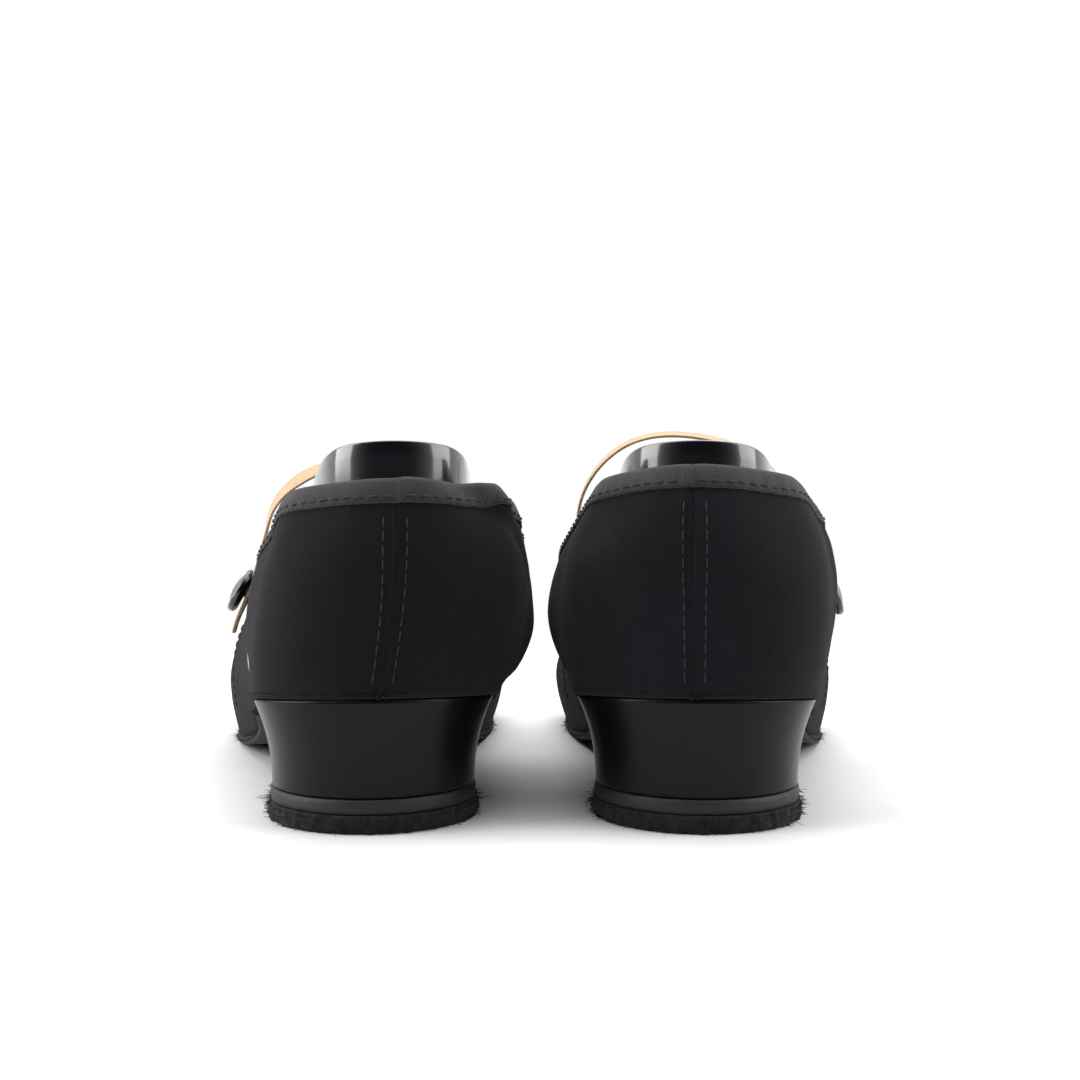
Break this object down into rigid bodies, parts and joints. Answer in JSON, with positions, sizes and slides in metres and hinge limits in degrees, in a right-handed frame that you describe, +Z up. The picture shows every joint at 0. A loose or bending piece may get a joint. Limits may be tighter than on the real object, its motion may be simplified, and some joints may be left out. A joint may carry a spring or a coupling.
{
  "type": "pair of heeled dance shoes",
  "caption": "Pair of black canvas dance shoes with moulded block heels, suede soles, buttoned elastic instep straps and plastic formers in the heels.",
  "frame": {"origin": "on the floor, in the middle of the pair's outline", "axes": "+Z up; +Y towards the toes, with the heels side by side at the -Y end; +X towards the right shoe"},
  "size_m": [0.1984, 0.2454, 0.0971],
  "materials": {
    "canvas": "matt plain-weave cotton canvas",
    "lining": "matt cotton drill lining",
    "binding_tape": "fine grosgrain tape",
    "stiffener": "impregnated non-woven sheet",
    "leatherboard": "fibrous pressed board",
    "cork": "granulated cork",
    "sock_leather": "smooth thin leather",
    "suede": "napped split with frayed edges",
    "heel_plastic": "satin gloss moulding",
    "lift_rubber": "fine matt rubber",
    "steel": "plain bright steel",
    "elastic": "ribbed woven elastic",
    "thread": "twisted waxed thread",
    "button_plastic": "polished moulding",
    "backing_plastic": "small moulded disc",
    "former_plastic": "polished rolled sheet"
  },
  "bodies": {
    "right_shoe": {"right_vamp": "canvas", "right_quarter_lateral": "canvas", "right_quarter_medial": "canvas", "right_lining_vamp": "lining", "right_lining_quarter": "lining", "right_heel_counter": "stiffener", "right_toe_puff": "stiffener", "right_topline_binding": "binding_tape", "right_insole_board": "leatherboard", "right_shank": "steel", "right_shank_rivets": "steel", "right_bottom_filler": "cork", "right_sock": "sock_leather", "right_outsole": "suede", "right_heel_block": "heel_plastic", "right_heel_lift": "lift_rubber", "right_heel_top_piece": "suede", "right_top_piece_nails": "steel", "right_heel_screw": "steel", "right_heel_nails": "steel", "right_button_thread": "thread", "right_button_backing": "backing_plastic"},
    "right_collar": {"right_collar_former": "former_plastic"},
    "right_strap": {"right_elastic_strap": "elastic", "right_strap_stitching": "thread"},
    "right_button": {"right_button": "button_plastic"},
    "left_shoe": {"left_vamp": "canvas", "left_quarter_lateral": "canvas", "left_quarter_medial": "canvas", "left_lining_vamp": "lining", "left_lining_quarter": "lining", "left_heel_counter": "stiffener", "left_toe_puff": "stiffener", "left_topline_binding": "binding_tape", "left_insole_board": "leatherboard", "left_shank": "steel", "left_shank_rivets": "steel", "left_bottom_filler": "cork", "left_sock": "sock_leather", "left_outsole": "suede", "left_heel_block": "heel_plastic", "left_heel_lift": "lift_rubber", "left_heel_top_piece": "suede", "left_top_piece_nails": "steel", "left_heel_screw": "steel", "left_heel_nails": "steel", "left_button_thread": "thread", "left_button_backing": "backing_plastic"},
    "left_collar": {"left_collar_former": "former_plastic"},
    "left_strap": {"left_elastic_strap": "elastic", "left_strap_stitching": "thread"},
    "left_button": {"left_button": "button_plastic"}
  },
  "joints": [
    {"name": "right_collar_lift", "type": "slide", "parent": "right_shoe", "child": "right_collar", "axis": [0, 0, 1], "range_m": [0, 0.065]},
    {"name": "right_strap_flop", "type": "hinge", "parent": "right_shoe", "child": "right_strap", "pos_m": [0.05244, -0.01937, 0.04932], "axis": [0.9917, -0.1218, -0.0411], "range_deg": [-18, 3], "stiffness_Nm_per_rad": 0.02},
    {"name": "right_button_swivel", "type": "hinge", "parent": "right_shoe", "child": "right_button", "pos_m": [0.08404, -0.02325, 0.04741], "axis": [0.9361, -0.1149, 0.3325], "range_deg": [-40, 40]},
    {"name": "left_collar_lift", "type": "slide", "parent": "left_shoe", "child": "left_collar", "axis": [0, 0, 1], "range_m": [0, 0.065]},
    {"name": "left_strap_flop", "type": "hinge", "parent": "left_shoe", "child": "left_strap", "pos_m": [-0.04837, -0.01967, 0.04944], "axis": [0.9869, 0.1563, 0.0389], "range_deg": [-18, 3], "stiffness_Nm_per_rad": 0.02},
    {"name": "left_button_swivel", "type": "hinge", "parent": "left_shoe", "child": "left_button", "pos_m": [-0.07859, -0.02446, 0.04741], "axis": [-0.8615, -0.1365, 0.489], "range_deg": [-40, 40]},
    {"name": "left_shoe_lift", "type": "slide", "parent": "right_shoe", "child": "left_shoe", "axis": [0, 0, 1], "range_m": [0, 0.1]}
  ]
}
